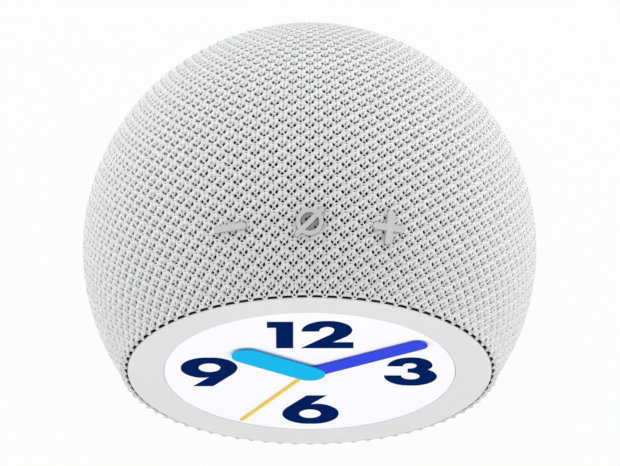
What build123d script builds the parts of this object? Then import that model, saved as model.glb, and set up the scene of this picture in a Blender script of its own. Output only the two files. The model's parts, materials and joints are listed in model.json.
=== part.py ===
from build123d import *
import math
import os

# A table clock shaped as a ball, cut flat by a dial that leans back, on a small round base.
# Millimetres. +Z is up, the dial faces -Y, and the origin is the centre of the foot's underside.

# The ball
BALL_R = 50.0
LEAN = 15.0
KNIT_T = 1.4
KNIT_GAP = 0.1
WALL = 2.5
KNIT_IN = BALL_R - KNIT_T
SHELL_R = KNIT_IN - KNIT_GAP
SHELL_IN = SHELL_R - WALL

# Shared clearances
FIT = 0.05
RUN = 0.05
SLIDE = 0.3

# Bezel and dial, with levels counted from the bezel's front face
BEZEL_R = 0.8 * BALL_R
BEZEL_T = 3.0
BEZEL_SKIRT = 3.8
RIM_GAP = 0.4
RIM_OVER = 0.443
DIAL_DIST = math.sqrt(BALL_R**2 - (BEZEL_R + RIM_OVER) ** 2)
KNIT_LIP = 0.25
DIAL_R = 0.8 * BEZEL_R
DIAL_T = 1.2
DIAL_TOP = -0.16
LEDGE = 2.0
PRINT_T = 0.06

# Hands: level of the underside, thickness, half width, length to the end's centre, clock angle
SECOND_LOW, SECOND_T, SECOND_HALF, SECOND_REACH, SECOND_AT = -0.02, 0.12, 0.38, 0.95 * DIAL_R, 209.5
MINUTE_LOW, MINUTE_T, MINUTE_HALF, MINUTE_REACH, MINUTE_AT = 0.18, 0.15, 2.24, 0.872 * DIAL_R, 57.5
HOUR_LOW, HOUR_T, HOUR_HALF, HOUR_REACH, HOUR_AT = 0.41, 0.20, 3.42, 0.522 * DIAL_R, 305.3

# Buttons on a circle about the dial's axis
BUTTON_POLAR = 73.0
BUTTON_SPREAD = 21.2
BUTTON_TOP = BALL_R + 0.6
BUTTON_TRAVEL = 0.6
MARK_L = 7.3
MARK_W = 1.4
MARK_ROUND = 0.45
MUTE_R = 3.0
MUTE_BAND = 0.95
SLASH_L = 8.8
SLASH_W = 1.1
MUTE_FLOOR = KNIT_IN
MARK_CLEAR = 0.3
FLANGE_R = 4.9
FLANGE_TOP = SHELL_IN - 0.8
FLANGE_T = 1.2
STEM_R = 1.5
TUBE_R = 6.4
TUBE_IN = FLANGE_R + SLIDE
TUBE_END = SHELL_IN - 8.0
SWITCH_BOARD_R = 6.0
SWITCH_BOARD_T = 1.2
SWITCH_SIDE = 6.0
SWITCH_H = 3.0
PLUNGER_R = 1.7
PLUNGER_LOW = TUBE_END + 1.0
PLUNGER_TOP = TUBE_END + SWITCH_H + 1.0

# Base, foot and main board
BASE_R = 24.8
BASE_OVER = 0.715
BASE_LOW = 1.0
BASE_TOP = 5.0
CENTRE_Z = BASE_LOW + math.sqrt(BALL_R**2 - (BASE_R + BASE_OVER) ** 2)
FOOT_R = BASE_R - 2.3
FOOT_T = 2.0
FLOOR_T = 2.5
FLOOR_R = math.sqrt(SHELL_R**2 - (CENTRE_Z - BASE_TOP) ** 2) - 1.8
FLOOR_HOLE_R = BASE_R - 8.8
BASE_BOSS_R = 3.0
BASE_BOSS_TOP = 10.8
BASE_SCREW_R = 1.1
BASE_HEAD_R = 2.2
BASE_HEAD_T = 1.4
BASE_SCREW_TOP = 10.0
FRONT_SCREWS = [(-12.0, -16.0), (12.0, -16.0)]
REAR_SCREWS = [(-14.0, 14.3), (14.0, 14.3)]
BOARD_R = BASE_R - 2.8
BOARD_LOW = 12.0
BOARD_T = 1.6
STANDOFF_R = 2.2
STANDOFF_AT = 13.0
BOARD_SCREW_R = 0.9
BOARD_HEAD_R = 1.8
BOARD_HEAD_T = 1.2
BOARD_SCREW_LOW = 7.5

# Rear plate and power inlet, as distances behind the ball's centre
REAR_R = 18.9
REAR_GAP = 0.3
INLET_R = 4.5
INLET_BORE_R = 3.0
INLET_RECESS = 0.2
INLET_L = 13.8
INLET_OUT = BALL_R - INLET_RECESS
INLET_IN = INLET_OUT - INLET_L
INLET_END_T = 1.5
COLLAR_R = 5.6
COLLAR_T = 0.6
NUT_R = 7.0
NUT_OUT = SHELL_IN - 0.6
NUT_T = 2.2
PIN_R = 1.05
PIN_OUT = INLET_OUT - 1.2
LAP = 2.0
LAP_T = 1.2
LAP_R = SHELL_IN + LAP_T

# Movement: levels of the plates and wheels
PLATE_T = 1.5
FRONT_PLATE_R = BEZEL_R - 4.0
BACK_PLATE_R = 31.0
BACK_PLATE = -20.7
PLATE_SCREW_R = 0.8
PLATE_HEAD_R = 1.6
PLATE_HEAD_T = 1.0
PLATE_SCREW_AT = FRONT_PLATE_R - 2.0
PLATE_SCREW_IN = 1.6
PILLAR_R = 2.0
PILLARS = [(-25.0, 8.0), (25.0, 8.0), (-8.0, -28.0), (8.0, -28.0)]
WHEEL_T = 1.0
SECOND_LEVEL = -7.2
IDLER_LEVEL = -8.8
IDLER_T = 0.8
MINUTE_LEVEL = -10.4
CANNON_LEVEL = -12.7
HOUR_LEVEL = -15.0
HOUR_R = 0.6
MINUTE_PIPE_R = 1.0
SECOND_PIPE_R = 1.4
PIVOT_R = 0.5
PIVOT_IN = 0.4
ROTOR_R = 2.3
ROTOR_LOW = -17.1
ROTOR_T = 1.5
STATOR_LOW = -16.8
STATOR_T = 0.9
STATOR_HOLE_R = 2.7
STATOR_W = 12.0
STATOR_LEG = 2.0
STATOR_OVER = 3.7
STATOR_UNDER = 16.1
STATOR_HEAD = 7.8
COIL_R = 2.4
COIL_L = 7.4

# Gears: a fine and a middle train module, and the motion work
PRESSURE = math.radians(20)
FINE, MIDDLE, COARSE = 0.2, 0.3, 0.4
FINE_SLACK, MIDDLE_SLACK, COARSE_SLACK = 0.05, 0.06, 0.07
PINION, IDLER, CENTRE_WHEEL = 12, 72, 60
CANNON, MOTION, MOTION_PINION, HOUR_WHEEL = 15, 45, 12, 48
SHIFT = 0.3
CANNON_SHIFT = 0.2

# Speaker, on its own axis above the ball's centre
SPEAKER_UP = 6.0
BAFFLE_T = 2.0
SPEAKER_DEPTH = 18.8
SPEAKER_GAP = 1.5
BAFFLE = BACK_PLATE - PLATE_HEAD_T - SPEAKER_GAP - SPEAKER_DEPTH - BAFFLE_T
BAFFLE_HOLE_R = 23.2
BAFFLE_FOOT = 18.0
BAFFLE_BOSS_R = 3.0
BAFFLE_R = math.sqrt(SHELL_IN**2 - (DIAL_DIST + BAFFLE) ** 2) - SLIDE
BAFFLE_BOSS_AT = BAFFLE_R - 7.3
BAFFLE_BOSSES = [-105.0, -50.0, 50.0, 105.0]
BAFFLE_BOSS_END = -DIAL_DIST - math.sqrt(SHELL_IN**2 - (BAFFLE_BOSS_AT + 0.4) ** 2)
BAFFLE_SCREW_R = 1.0
BASKET_R = 27.0
BASKET_LIP_R = 22.6
TOP_PLATE_R = 15.0
MAGNET_R = 14.0
MAGNET_HOLE_R = 9.0
YOKE_R = 13.0
POLE_R = 6.0
COIL_IN, COIL_OUT = 6.35, 6.75
GAP_OUT = 7.2
CONE_R = 19.0
CONE_T = 0.4
VENT_R = 0.6

lean = math.radians(LEAN)
CENTRE = Vector(0, 0, CENTRE_Z)
RIGHT = Vector(1, 0, 0)
FORWARD = Vector(0, -math.cos(lean), math.sin(lean))
UPWARD = Vector(0, math.sin(lean), math.cos(lean))
FACE = CENTRE + FORWARD * DIAL_DIST
AXIS = Axis(FACE, FORWARD)
SPEAKER = FACE + UPWARD * SPEAKER_UP
SPEAKER_AXIS = Axis(SPEAKER, FORWARD)
turning = Plane(origin=FACE, x_dir=RIGHT, z_dir=UPWARD * -1)
speaker_turning = Plane(origin=SPEAKER, x_dir=RIGHT, z_dir=UPWARD * -1)


def face(level):
    return Plane(origin=FACE + FORWARD * level, x_dir=RIGHT, z_dir=FORWARD)


def speaker_face(level):
    return Plane(origin=SPEAKER + FORWARD * level, x_dir=RIGHT, z_dir=FORWARD)


def flat(height):
    return Plane.XY.offset(height)


def behind(distance):
    return Plane(origin=CENTRE - FORWARD * distance, x_dir=RIGHT * -1, z_dir=FORWARD * -1)


def radial(polar, around, radius):
    """Plane square to the ball's radius, at a polar angle from the dial's axis and an angle round it."""
    a, b = math.radians(polar), math.radians(around)
    out = FORWARD * math.cos(a) + (UPWARD * math.cos(b) + RIGHT * math.sin(b)) * math.sin(a)
    across = RIGHT * math.cos(b) - UPWARD * math.sin(b)
    return Plane(origin=CENTRE + out * radius, x_dir=across, z_dir=out)


def ring_at(radius, level):
    return math.sqrt(radius**2 - (DIAL_DIST + level) ** 2)


def ball_point(radius, ahead):
    """Point of the turning sketch on a sphere, at a distance ahead of its centre."""
    return (math.sqrt(radius**2 - ahead**2), ahead - DIAL_DIST)


def back_point(radius, out):
    return (out, -DIAL_DIST - math.sqrt(radius**2 - out**2))


def polar_spot(distance, degrees):
    return (distance * math.cos(math.radians(degrees)), distance * math.sin(math.radians(degrees)))


def post(plane, radius, height, spots=((0, 0),), mode=Mode.ADD):
    with BuildSketch(plane) as outline:
        with Locations(*spots):
            Circle(radius)
    extrude(outline.sketch, amount=height, mode=mode)


def block(plane, wide, tall, height, spots=((0, 0),), mode=Mode.ADD):
    with BuildSketch(plane) as outline:
        with Locations(*spots):
            Rectangle(wide, tall)
    extrude(outline.sketch, amount=height, mode=mode)


def turned(points, plane=turning, axis=AXIS):
    with BuildSketch(plane) as half:
        with BuildLine():
            Polyline(points, close=True)
        make_face()
    revolve(half.sketch, axis=axis)


def minus_mark(grow):
    RectangleRounded(MARK_L + 2 * grow, MARK_W + 2 * grow, MARK_ROUND + grow)


def plus_mark(grow):
    RectangleRounded(MARK_L + 2 * grow, MARK_W + 2 * grow, MARK_ROUND + grow)
    RectangleRounded(MARK_W + 2 * grow, MARK_L + 2 * grow, MARK_ROUND + grow)


def slash_mark(grow):
    RectangleRounded(SLASH_L + 2 * grow, SLASH_W + 2 * grow, MARK_ROUND + grow, rotation=45)


def mute_mark(grow):
    Circle(MUTE_R + grow)
    slash_mark(grow)


def stamp(plane, mark, grow, height, mode=Mode.ADD):
    with BuildSketch(plane) as outline:
        mark(grow)
    extrude(outline.sketch, amount=height, mode=mode)


BUTTONS = {
    "minus": (-BUTTON_SPREAD, minus_mark),
    "mute": (0.0, mute_mark),
    "plus": (BUTTON_SPREAD, plus_mark),
}


def button_plane(name, radius):
    return radial(BUTTON_POLAR, BUTTONS[name][0], radius)


def gear_points(module, teeth, shift, slack, phase):
    """Involute teeth with shifted profiles, thinned by the slack, one tooth centred on the phase."""
    pitch_r = module * teeth / 2
    base_r = pitch_r * math.cos(PRESSURE)
    tip_r = pitch_r + module * (0.9 + shift)
    root_r = pitch_r - module * (1.3 - shift)
    half = math.pi / (2 * teeth) + 2 * shift * math.tan(PRESSURE) / teeth - slack / (2 * pitch_r)

    def flank(radius):
        angle = math.acos(min(1.0, base_r / radius))
        return half + (math.tan(PRESSURE) - PRESSURE) - (math.tan(angle) - angle)

    radii = [root_r] if root_r > base_r else [root_r, base_r]
    start = radii[-1]
    radii += [(start + tip_r) / 2, tip_r]
    points = []
    for k in range(teeth):
        middle = phase + 2 * math.pi * k / teeth
        for r in radii:
            points.append((r, middle - flank(max(r, base_r))))
        for r in reversed(radii):
            points.append((r, middle + flank(max(r, base_r))))
    return [(r * math.cos(a), r * math.sin(a)) for r, a in points]


def mesh_phase(teeth, phase, mate_teeth, bearing):
    """Phase that sets a gap of the mate, which lies along the bearing, against a tooth."""
    return bearing + math.pi - teeth / mate_teeth * (phase - bearing) - math.pi / mate_teeth


def toothed(level, thick, module, teeth, shift, slack, phase, spot=(0, 0)):
    points = [(x + spot[0], y + spot[1]) for x, y in gear_points(module, teeth, shift, slack, phase)]
    with BuildSketch(face(level)) as outline:
        with BuildLine():
            Polyline(points, close=True)
        make_face()
    extrude(outline.sketch, amount=thick)


FINE_APART = FINE * (PINION + IDLER) / 2
MIDDLE_APART = MIDDLE * (PINION + CENTRE_WHEEL) / 2
MOTION_SPOT = (0.0, COARSE * (CANNON + MOTION) / 2)
SIDES = {"second": math.pi, "minute": 0.0}
TURNS = {"second": math.radians(225), "minute": math.radians(315)}
LEVELS = {"second": SECOND_LEVEL, "minute": MINUTE_LEVEL}
IDLER_SPOT = {}
ROTOR_SPOT = {}
for train in SIDES:
    IDLER_SPOT[train] = (MIDDLE_APART * math.cos(SIDES[train]), 0.0)
    ROTOR_SPOT[train] = (
        IDLER_SPOT[train][0] + FINE_APART * math.cos(TURNS[train]),
        FINE_APART * math.sin(TURNS[train]),
    )
SHAFT_SPOTS = [MOTION_SPOT, *IDLER_SPOT.values(), *ROTOR_SPOT.values()]
FRONT_PLATE = -BEZEL_T - PLATE_T
SHAFT_L = -BEZEL_T - BACK_PLATE - 2 * PIVOT_IN
PLATE_SCREWS = [polar_spot(PLATE_SCREW_AT, a) for a in (90, 210, 330)]
STANDOFFS = [polar_spot(STANDOFF_AT, a) for a in (30, 150, 270)]


def save(part, name):
    part.label = name
    export_step(part, f"parts/{name}.step")


# The knitted cover, a thin round shell with openings for the bezel, the rear plate, the base and the buttons
rim = BEZEL_R + RIM_GAP
lip_out = (ring_at(BALL_R, -KNIT_LIP), -KNIT_LIP)
lip_in = (rim, -KNIT_LIP)
lip_low = (rim, math.sqrt(KNIT_IN**2 - rim**2) - DIAL_DIST)
tail_in = back_point(KNIT_IN, REAR_R + REAR_GAP)
tail_out = back_point(BALL_R, REAR_R + REAR_GAP)
with BuildPart() as knit_cover:
    with BuildSketch(turning):
        with BuildLine():
            Polyline(lip_out, lip_in, lip_low)
            ThreePointArc(lip_low, ball_point(KNIT_IN, 0), tail_in)
            Line(tail_in, tail_out)
            ThreePointArc(tail_out, ball_point(BALL_R, 0), lip_out)
        make_face()
    revolve(axis=AXIS)
    post(flat(-5), BASE_R + 4 * FIT, 15, mode=Mode.SUBTRACT)
    post(flat(-10), BALL_R, 10 + BASE_LOW, mode=Mode.SUBTRACT)
    for key in BUTTONS:
        stamp(button_plane(key, KNIT_IN - 1), BUTTONS[key][1], MARK_CLEAR, 4, Mode.SUBTRACT)
save(knit_cover.part, "knit_cover")

# The two halves of the case, which lap on the plane through the ball's centre
seat = -BEZEL_T
floor_low = BASE_TOP
with BuildPart() as front_housing:
    post(flat(floor_low), FLOOR_R, FLOOR_T)
    post(flat(floor_low), BASE_BOSS_R, BASE_BOSS_TOP - floor_low, FRONT_SCREWS)
    block(face(-DIAL_DIST), 4 * BALL_R, 4 * BALL_R, -2 * BALL_R, mode=Mode.SUBTRACT)
    with BuildSketch(turning):
        with BuildLine():
            ThreePointArc(
                ball_point(SHELL_R, DIAL_DIST + seat), ball_point(SHELL_R, DIAL_DIST / 2), ball_point(SHELL_R, 0)
            )
            Line(ball_point(SHELL_R, 0), ball_point(SHELL_IN, 0))
            ThreePointArc(
                ball_point(SHELL_IN, 0), ball_point(SHELL_IN, DIAL_DIST / 2), ball_point(SHELL_IN, DIAL_DIST + seat)
            )
            Line(ball_point(SHELL_IN, DIAL_DIST + seat), ball_point(SHELL_R, DIAL_DIST + seat))
        make_face()
    revolve(axis=AXIS)
    for key in BUTTONS:
        with BuildSketch(button_plane(key, TUBE_END)):
            Circle(TUBE_R)
            Circle(TUBE_IN, mode=Mode.SUBTRACT)
        extrude(amount=SHELL_IN + 0.4 - TUBE_END)
    for key in BUTTONS:
        stamp(button_plane(key, SHELL_IN - 1), BUTTONS[key][1], MARK_CLEAR, 4.5, Mode.SUBTRACT)
    post(face(-DIAL_DIST), LAP_R + FIT, LAP + FIT, mode=Mode.SUBTRACT)
    post(flat(floor_low - 1), FLOOR_HOLE_R, 10, mode=Mode.SUBTRACT)
    post(flat(floor_low - 20), BALL_R, 20, mode=Mode.SUBTRACT)
    post(flat(floor_low - 1), BASE_SCREW_R + FIT, 6.5, FRONT_SCREWS, Mode.SUBTRACT)
save(front_housing.part, "front_housing")

with BuildPart() as rear_housing:
    post(flat(floor_low), FLOOR_R, FLOOR_T)
    post(flat(floor_low), BASE_BOSS_R, BASE_BOSS_TOP - floor_low, REAR_SCREWS)
    block(face(-DIAL_DIST), 4 * BALL_R, 4 * BALL_R, 2 * BALL_R, mode=Mode.SUBTRACT)
    with BuildSketch(turning):
        with BuildLine():
            ThreePointArc(
                ball_point(SHELL_R, 0), ball_point(SHELL_R, -0.6 * BALL_R), back_point(SHELL_R, INLET_R + 3 * FIT)
            )
            Line(back_point(SHELL_R, INLET_R + 3 * FIT), back_point(SHELL_IN, INLET_R + 3 * FIT))
            ThreePointArc(
                back_point(SHELL_IN, INLET_R + 3 * FIT), ball_point(SHELL_IN, -0.6 * BALL_R), ball_point(SHELL_IN, 0)
            )
            Line(ball_point(SHELL_IN, 0), ball_point(SHELL_R, 0))
        make_face()
    revolve(axis=AXIS)
    with BuildSketch(face(-DIAL_DIST - 1)):
        Circle(LAP_R)
        Circle(ball_point(SHELL_IN, 1)[0], mode=Mode.SUBTRACT)
    extrude(amount=LAP + 1)
    boss_spots = [polar_spot(BAFFLE_BOSS_AT, 90 - a) for a in BAFFLE_BOSSES]
    post(face(BAFFLE_BOSS_END), BAFFLE_BOSS_R, BAFFLE - BAFFLE_BOSS_END, boss_spots)
    post(face(BAFFLE - 8), BAFFLE_SCREW_R + FIT, 10, boss_spots, Mode.SUBTRACT)
    for polar, first in ((112, 0), (124, 10), (136, 0)):
        for k in range(-6, 7):
            post(radial(polar, first + 20 * k, SHELL_IN - 2), 2.0, 6, mode=Mode.SUBTRACT)
    post(flat(floor_low - 1), FLOOR_HOLE_R, 10, mode=Mode.SUBTRACT)
    post(flat(floor_low - 20), BALL_R, 20, mode=Mode.SUBTRACT)
    post(flat(floor_low - 1), BASE_SCREW_R + FIT, 6.5, REAR_SCREWS, Mode.SUBTRACT)
save(rear_housing.part, "rear_housing")

# Bezel with a ledge for the dial and a skirt that snaps behind the case's edge
skirt_out = ring_at(SHELL_IN, seat) - 3 * FIT
skirt_in = FRONT_PLATE_R + 4 * FIT
skirt_low = seat - BEZEL_SKIRT
ledge_top = DIAL_TOP - DIAL_T
with BuildPart() as bezel_ring:
    turned(
        [
            (DIAL_R, -0.15),
            (DIAL_R + 0.15, 0),
            (BEZEL_R - 0.5, 0),
            (BEZEL_R - 0.15, -0.15),
            (BEZEL_R, -0.5),
            (BEZEL_R, seat),
            (skirt_out, seat),
            (skirt_out, seat - 2.2),
            (skirt_out + 0.7, seat - 2.8),
            (skirt_out + 0.7, seat - 3.1),
            (skirt_out, skirt_low),
            (skirt_in, skirt_low),
            (skirt_in, seat),
            (DIAL_R - LEDGE, seat),
            (DIAL_R - LEDGE, ledge_top),
            (DIAL_R, ledge_top),
        ]
    )
    post(face(seat), PLATE_SCREW_R + FIT, PLATE_SCREW_IN + FIT, PLATE_SCREWS, Mode.SUBTRACT)
save(bezel_ring.part, "bezel_ring")

with BuildPart() as dial_plate:
    post(face(ledge_top), DIAL_R - 2 * FIT, DIAL_T)
    post(face(ledge_top), SECOND_PIPE_R + 4 * RUN, DIAL_T, mode=Mode.SUBTRACT)
save(dial_plate.part, "dial_plate")


def six(shift_x, shift_y, turn):
    """A six about the middle of its bowl, or with turn -1 the nine."""

    def at(x, y):
        return (shift_x + turn * x, shift_y + turn * y)

    with BuildSketch(face(DIAL_TOP)) as outline:
        with BuildLine():
            Polyline(at(-4.85, 3.85), at(-0.75, 10.1), at(3.62, 10.1), at(-0.02, 5.05))
            ThreePointArc(at(-0.02, 5.05), at(1.15, 5.45), at(2.4, 5.4))
            ThreePointArc(at(2.4, 5.4), at(5.45, 3.15), at(6.3, 0.1))
            ThreePointArc(at(6.3, 0.1), at(4.1, -4.4), at(0.05, -5.5))
            ThreePointArc(at(0.05, -5.5), at(-4.1, -4.25), at(-6.12, 0.0))
            ThreePointArc(at(-6.12, 0.0), at(-5.7, 2.2), at(-4.85, 3.85))
        make_face()
        with Locations(at(0, 0)):
            Circle(2.4, mode=Mode.SUBTRACT)
    extrude(outline.sketch, amount=PRINT_T)


# Printed numerals, as thin solids on the dial
with BuildPart() as dial_numerals:
    with BuildSketch(face(DIAL_TOP)):
        with BuildLine():
            Polyline(
                [(-9.32, 27.05), (-3.59, 27.05), (-3.59, 12.77), (-7.33, 12.77), (-7.33, 23.85), (-9.32, 23.85)],
                close=True,
            )
        make_face()
        with BuildLine():
            ThreePointArc((-1.75, 21.85), (0.1, 26.1), (3.98, 27.5))
            ThreePointArc((3.98, 27.5), (7.75, 26.1), (9.32, 22.6))
            ThreePointArc((9.32, 22.6), (8.85, 20.5), (7.6, 18.6))
            Polyline((7.6, 18.6), (4.98, 15.98), (9.57, 15.98), (9.57, 12.77), (-1.94, 12.77), (3.9, 19.4))
            ThreePointArc((3.9, 19.4), (5.0, 20.95), (5.34, 22.6))
            ThreePointArc((5.34, 22.6), (4.9, 23.9), (3.7, 24.33))
            ThreePointArc((3.7, 24.33), (2.55, 23.6), (2.14, 21.85))
            Line((2.14, 21.85), (-1.75, 21.85))
        make_face()
        with BuildLine():
            ThreePointArc((17.0, 2.87), (18.75, 6.4), (22.1, 7.65))
            ThreePointArc((22.1, 7.65), (25.5, 6.5), (26.9, 3.4))
            ThreePointArc((26.9, 3.4), (26.65, 2.05), (25.84, 0.97))
            ThreePointArc((25.84, 0.97), (27.4, -0.75), (27.93, -3.0))
            ThreePointArc((27.93, -3.0), (26.2, -6.4), (22.1, -7.67))
            ThreePointArc((22.1, -7.67), (18.0, -6.2), (16.27, -2.19))
            Line((16.27, -2.19), (20.06, -2.19))
            ThreePointArc((20.06, -2.19), (20.65, -3.75), (22.1, -4.37))
            ThreePointArc((22.1, -4.37), (23.6, -3.85), (24.14, -2.57))
            ThreePointArc((24.14, -2.57), (23.3, -1.1), (21.47, -0.63))
            Line((21.47, -0.63), (21.47, 1.6))
            ThreePointArc((21.47, 1.6), (22.95, 2.05), (23.46, 3.06))
            ThreePointArc((23.46, 3.06), (23.1, 4.1), (22.0, 4.52))
            ThreePointArc((22.0, 4.52), (20.85, 4.1), (20.4, 2.87))
            Line((20.4, 2.87), (17.0, 2.87))
        make_face()
    extrude(amount=PRINT_T)
    six(0.08, -23.3, 1)
    six(-21.95, 2.05, -1)
save(dial_numerals.part, "dial_numerals")


def hand(low, thick, half, reach, clock, bore, hub):
    bearing = 90 - clock
    middle = polar_spot(reach / 2, bearing)
    with BuildSketch(face(low)) as outline:
        with Locations(middle):
            SlotCenterToCenter(reach, 2 * half, rotation=bearing)
        if hub:
            Circle(hub)
        if bore:
            Circle(bore, mode=Mode.SUBTRACT)
    extrude(outline.sketch, amount=thick)


with BuildPart() as second_hand:
    hand(SECOND_LOW, SECOND_T, SECOND_HALF, SECOND_REACH, SECOND_AT, SECOND_PIPE_R + FIT / 2, 2.3)
save(second_hand.part, "second_hand")

with BuildPart() as minute_hand:
    hand(MINUTE_LOW, MINUTE_T, MINUTE_HALF, MINUTE_REACH, MINUTE_AT, MINUTE_PIPE_R + FIT / 2, 0)
save(minute_hand.part, "minute_hand")

with BuildPart() as hour_hand:
    hand(HOUR_LOW, HOUR_T, HOUR_HALF, HOUR_REACH, HOUR_AT, 0, 0)
save(hour_hand.part, "hour_hand")

# Wheels of the movement: two geared motors, one for the seconds and one for the minutes and hours
train_phase = 0.0
with BuildPart() as second_wheel:
    toothed(SECOND_LEVEL, WHEEL_T, MIDDLE, CENTRE_WHEEL, -SHIFT, MIDDLE_SLACK, train_phase)
    post(face(SECOND_LEVEL - 0.5), SECOND_PIPE_R, SECOND_LOW + SECOND_T - SECOND_LEVEL + 0.5)
    post(face(SECOND_LEVEL - 1), MINUTE_PIPE_R + RUN, 10, mode=Mode.SUBTRACT)
save(second_wheel.part, "second_wheel")

with BuildPart() as minute_wheel:
    toothed(MINUTE_LEVEL, WHEEL_T, MIDDLE, CENTRE_WHEEL, -SHIFT, MIDDLE_SLACK, train_phase)
    toothed(CANNON_LEVEL, WHEEL_T, COARSE, CANNON, CANNON_SHIFT, COARSE_SLACK, train_phase)
    post(face(CANNON_LEVEL - 0.3), MINUTE_PIPE_R, MINUTE_LOW + MINUTE_T - CANNON_LEVEL + 0.3)
    post(face(CANNON_LEVEL - 1), HOUR_R + RUN, 15, mode=Mode.SUBTRACT)
save(minute_wheel.part, "minute_wheel")

up, down = math.pi / 2, -math.pi / 2
motion_phase = mesh_phase(CANNON, train_phase, MOTION, up)
hour_phase = mesh_phase(MOTION_PINION, train_phase, HOUR_WHEEL, down)
with BuildPart() as motion_wheel:
    toothed(CANNON_LEVEL, WHEEL_T, COARSE, MOTION, -CANNON_SHIFT, COARSE_SLACK, motion_phase, MOTION_SPOT)
    toothed(
        HOUR_LEVEL, CANNON_LEVEL - HOUR_LEVEL, COARSE, MOTION_PINION, SHIFT, COARSE_SLACK, train_phase, MOTION_SPOT
    )
    post(face(BACK_PLATE + PIVOT_IN), PIVOT_R, SHAFT_L, [MOTION_SPOT])
save(motion_wheel.part, "motion_wheel")

with BuildPart() as hour_wheel:
    toothed(HOUR_LEVEL, WHEEL_T, COARSE, HOUR_WHEEL, -SHIFT, COARSE_SLACK, hour_phase)
    post(face(BACK_PLATE + PIVOT_IN), HOUR_R, HOUR_LOW - BACK_PLATE - PIVOT_IN)
save(hour_wheel.part, "hour_wheel")


def idler(train):
    spot = IDLER_SPOT[train]
    pinion_phase = mesh_phase(CENTRE_WHEEL, train_phase, PINION, SIDES[train])
    toothed(IDLER_LEVEL, IDLER_T, FINE, IDLER, -SHIFT, FINE_SLACK, train_phase, spot)
    low = min(LEVELS[train], IDLER_LEVEL)
    high = max(LEVELS[train] + WHEEL_T, IDLER_LEVEL)
    toothed(low, high - low, MIDDLE, PINION, SHIFT, MIDDLE_SLACK, pinion_phase, spot)
    post(face(BACK_PLATE + PIVOT_IN), PIVOT_R, SHAFT_L, [spot])


def rotor(train):
    spot = ROTOR_SPOT[train]
    pinion_phase = mesh_phase(IDLER, train_phase, PINION, TURNS[train])
    toothed(IDLER_LEVEL, IDLER_T, FINE, PINION, SHIFT, FINE_SLACK, pinion_phase, spot)
    post(face(ROTOR_LOW), ROTOR_R, ROTOR_T, [spot])
    post(face(BACK_PLATE + PIVOT_IN), PIVOT_R, SHAFT_L, [spot])


with BuildPart() as second_idler:
    idler("second")
save(second_idler.part, "second_idler")
with BuildPart() as minute_idler:
    idler("minute")
save(minute_idler.part, "minute_idler")
with BuildPart() as second_rotor:
    rotor("second")
save(second_rotor.part, "second_rotor")
with BuildPart() as minute_rotor:
    rotor("minute")
save(minute_rotor.part, "minute_rotor")


def stator(train):
    x, y = ROTOR_SPOT[train]
    tall = STATOR_OVER + STATOR_UNDER
    middle = (x, y + (STATOR_OVER - STATOR_UNDER) / 2)
    block(face(STATOR_LOW), STATOR_W, tall, STATOR_T, [middle])
    window = tall - STATOR_HEAD - STATOR_LEG
    at = (x, y - STATOR_UNDER + STATOR_LEG + window / 2)
    block(face(STATOR_LOW), STATOR_W - 2 * STATOR_LEG, window, STATOR_T, [at], Mode.SUBTRACT)
    post(face(STATOR_LOW), STATOR_HOLE_R, STATOR_T, [(x, y)], Mode.SUBTRACT)


def coil(train):
    x, y = ROTOR_SPOT[train]
    bar = y - STATOR_UNDER + STATOR_LEG / 2
    along = face(STATOR_LOW + STATOR_T / 2)
    start = along.from_local_coords(Vector(x - COIL_L / 2, bar, 0))
    end = Plane(origin=start, x_dir=UPWARD, z_dir=RIGHT)
    post(end, COIL_R, COIL_L)
    block(end, STATOR_LEG + 2 * FIT, STATOR_T + 2 * FIT, COIL_L, mode=Mode.SUBTRACT)


with BuildPart() as second_stator:
    stator("second")
save(second_stator.part, "second_stator")
with BuildPart() as minute_stator:
    stator("minute")
save(minute_stator.part, "minute_stator")
with BuildPart() as second_coil:
    coil("second")
save(second_coil.part, "second_coil")
with BuildPart() as minute_coil:
    coil("minute")
save(minute_coil.part, "minute_coil")

# Plates, pillars and screws of the movement
with BuildPart() as movement_front_plate:
    post(face(FRONT_PLATE), FRONT_PLATE_R, PLATE_T)
    post(face(FRONT_PLATE), SECOND_PIPE_R + RUN, PLATE_T, mode=Mode.SUBTRACT)
    post(face(FRONT_PLATE), PIVOT_R + RUN, PLATE_T, SHAFT_SPOTS, Mode.SUBTRACT)
    post(face(FRONT_PLATE), PLATE_SCREW_R + 2 * FIT, PLATE_T, PLATE_SCREWS, Mode.SUBTRACT)
save(movement_front_plate.part, "movement_front_plate")

stator_posts = []
for train in SIDES:
    for side in (-1, 1):
        leg = (STATOR_W - STATOR_LEG) / 2
        stator_posts.append((ROTOR_SPOT[train][0] + side * leg, ROTOR_SPOT[train][1] - STATOR_HEAD))
with BuildPart() as movement_back_plate:
    post(face(BACK_PLATE), BACK_PLATE_R, PLATE_T)
    post(face(BACK_PLATE), STATOR_LEG / 2, STATOR_LOW - BACK_PLATE, stator_posts)
    post(face(BACK_PLATE), HOUR_R + RUN, PLATE_T, mode=Mode.SUBTRACT)
    post(face(BACK_PLATE), PIVOT_R + RUN, PLATE_T, SHAFT_SPOTS, Mode.SUBTRACT)
    post(face(BACK_PLATE), PLATE_SCREW_R + 2 * FIT, PLATE_T, PILLARS, Mode.SUBTRACT)
save(movement_back_plate.part, "movement_back_plate")

pillar_low = BACK_PLATE + PLATE_T
with BuildPart() as movement_pillars:
    post(face(pillar_low), PILLAR_R, FRONT_PLATE - pillar_low, PILLARS)
    post(face(pillar_low), PLATE_SCREW_R + FIT, 5, PILLARS, Mode.SUBTRACT)
save(movement_pillars.part, "movement_pillars")

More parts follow.
